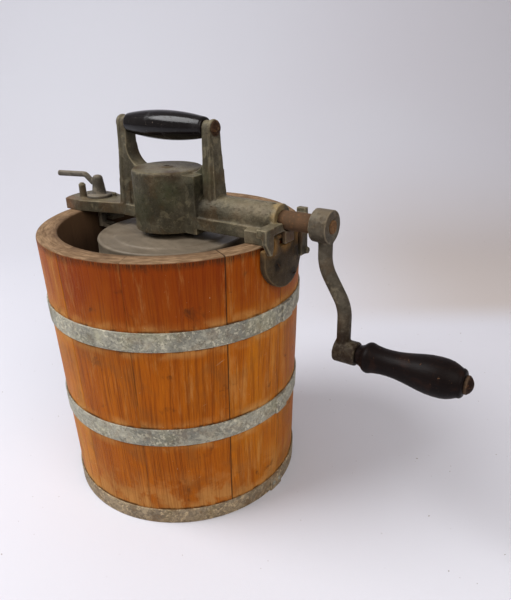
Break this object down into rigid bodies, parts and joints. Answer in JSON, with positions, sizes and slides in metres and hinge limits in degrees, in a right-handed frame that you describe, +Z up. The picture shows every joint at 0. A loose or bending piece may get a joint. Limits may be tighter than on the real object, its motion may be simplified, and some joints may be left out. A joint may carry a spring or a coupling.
{
  "type": "hand crank ice cream freezer",
  "caption": "Coopered wooden tub with a lidded metal can inside, turned by bevel gears under a cast carry-handle frame and a hanging side crank with a turned knob.",
  "frame": {"origin": "tub axis at the floor, on the underside of the lower hoop", "axes": "+Z up along the tub axis, +X along the crankshaft towards the crank"},
  "size_m": [0.4694, 0.266, 0.393],
  "materials": {
    "stave_wood": "varnished pine, worn",
    "board_wood": "plain pine, damp stained",
    "hoop_zinc": "galvanised strip, dull",
    "tin": "tinned sheet, dull",
    "frame_iron": "tinned cast iron, worn",
    "crank_iron": "cast iron, worn",
    "dasher_iron": "tinned cast iron",
    "gear_iron": "cast iron, greased",
    "rusty_steel": "steel, rusty",
    "grip_black": "black enamelled wood",
    "knob_wood": "dark turned wood",
    "scraper_wood": "plain beech"
  },
  "bodies": {
    "tub": {"stave_01": "stave_wood", "stave_02": "stave_wood", "stave_03": "stave_wood", "stave_04": "stave_wood", "stave_05": "stave_wood", "stave_06": "stave_wood", "stave_07": "stave_wood", "stave_08": "stave_wood", "stave_09": "stave_wood", "stave_10": "stave_wood", "stave_11": "stave_wood", "stave_12": "stave_wood", "bottom_board_back": "board_wood", "bottom_board_middle": "board_wood", "bottom_board_front": "board_wood", "hoop_lower": "hoop_zinc", "hoop_middle": "hoop_zinc", "hoop_upper": "hoop_zinc", "hoop_rivets": "hoop_zinc", "bracket": "frame_iron", "bracket_pin": "rusty_steel", "bracket_screws": "rusty_steel", "latch_keeper": "frame_iron", "keeper_screws": "rusty_steel", "floor_pivot": "crank_iron", "pivot_screws": "rusty_steel"},
    "gear_frame": {"gear_frame": "frame_iron", "gear_cover": "frame_iron", "cover_screws": "rusty_steel", "carry_grip": "grip_black", "carry_grip_bolt": "rusty_steel"},
    "crank": {"crankshaft": "rusty_steel", "shaft_sleeve": "rusty_steel", "bevel_pinion": "gear_iron", "pinion_pin": "rusty_steel", "crank_arm": "crank_iron", "knob_spindle": "rusty_steel"},
    "knob": {"crank_knob": "knob_wood"},
    "can_gear": {"can_gear": "gear_iron", "can_driver": "gear_iron"},
    "latch": {"latch_lever": "crank_iron", "latch_hook": "crank_iron"},
    "dasher": {"dasher_frame": "dasher_iron", "scraper_left": "scraper_wood", "scraper_right": "scraper_wood", "scraper_rivets": "rusty_steel"},
    "can": {"can_wall": "tin", "can_bottom": "dasher_iron"},
    "lid": {"can_lid": "tin"}
  },
  "joints": [
    {"name": "frame_lift", "type": "slide", "parent": "tub", "child": "gear_frame", "axis": [0, 0, 1], "range_m": [0, 0.7]},
    {"name": "crank_spin", "type": "hinge", "parent": "gear_frame", "child": "crank", "pos_m": [0.15, 0, 0.304], "axis": [1, 0, 0], "continuous": true},
    {"name": "knob_spin", "type": "hinge", "parent": "crank", "child": "knob", "pos_m": [0.26, 0, 0.19], "axis": [1, 0, 0], "continuous": true},
    {"name": "can_gear_spin", "type": "hinge", "parent": "gear_frame", "child": "can_gear", "pos_m": [0, 0, 0.315], "axis": [0, 0, 1], "continuous": true},
    {"name": "latch_turn", "type": "hinge", "parent": "gear_frame", "child": "latch", "pos_m": [-0.105, 0, 0.297], "axis": [0, 0, 1], "range_deg": [0, 90]},
    {"name": "dasher_lift", "type": "slide", "parent": "tub", "child": "dasher", "axis": [0, 0, 1], "range_m": [0, 0.315]},
    {"name": "can_spin", "type": "hinge", "parent": "dasher", "child": "can", "pos_m": [0, 0, 0.044], "axis": [0, 0, 1], "continuous": true},
    {"name": "lid_lift", "type": "slide", "parent": "can", "child": "lid", "axis": [0, 0, 1], "range_m": [0, 0.14]}
  ],
  "couplings": [
    {"joint": "can_gear_spin", "follows": "crank_spin", "ratio": -0.5},
    {"joint": "can_spin", "follows": "crank_spin", "ratio": -0.5},
    {"joint": "dasher_lift", "follows": "frame_lift", "ratio": 0.45},
    {"joint": "lid_lift", "follows": "frame_lift", "ratio": 0.2}
  ]
}
